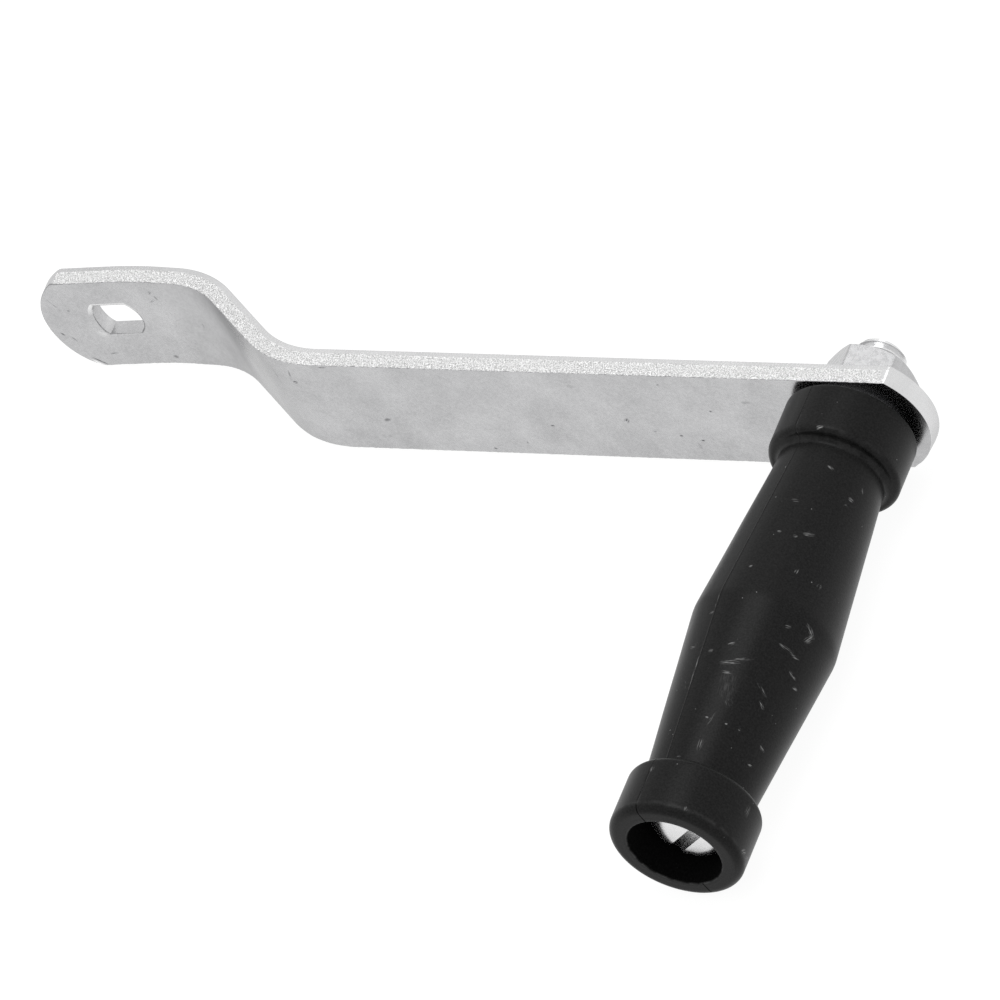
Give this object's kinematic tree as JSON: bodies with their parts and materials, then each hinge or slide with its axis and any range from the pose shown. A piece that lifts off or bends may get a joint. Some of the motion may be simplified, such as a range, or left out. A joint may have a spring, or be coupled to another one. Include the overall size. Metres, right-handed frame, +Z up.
{
  "type": "crank handle",
  "caption": "Joggled flat steel crank arm with a double-D hub hole, and a black plastic grip that spins on a slotted axle screw.",
  "frame": {"origin": "axis of the double-D hole, at the hub's back face", "axes": "+X along the arm to the grip, -Y the side the grip stands on (parallel to the grip's axis), +Z across the bar's width; the part lies on its side with +Z up"},
  "size_m": [0.2433, 0.1506, 0.0334],
  "materials": {
    "zinc_plated_bar": "bright zinc plate, with sheared edges",
    "zinc_plated_hardware": "bright zinc plate, turned and pressed",
    "moulded_plastic": "satin, lightly scuffed"
  },
  "bodies": {
    "crank": {"arm": "zinc_plated_bar", "thrust_washer": "zinc_plated_hardware", "axle_screw": "zinc_plated_hardware", "axle_nut": "zinc_plated_hardware"},
    "grip": {"grip": "moulded_plastic"}
  },
  "joints": [
    {"name": "grip_spin", "type": "hinge", "parent": "crank", "child": "grip", "pos_m": [0.2053, -0.09, 0], "axis": [0, -1, 0], "continuous": true}
  ]
}
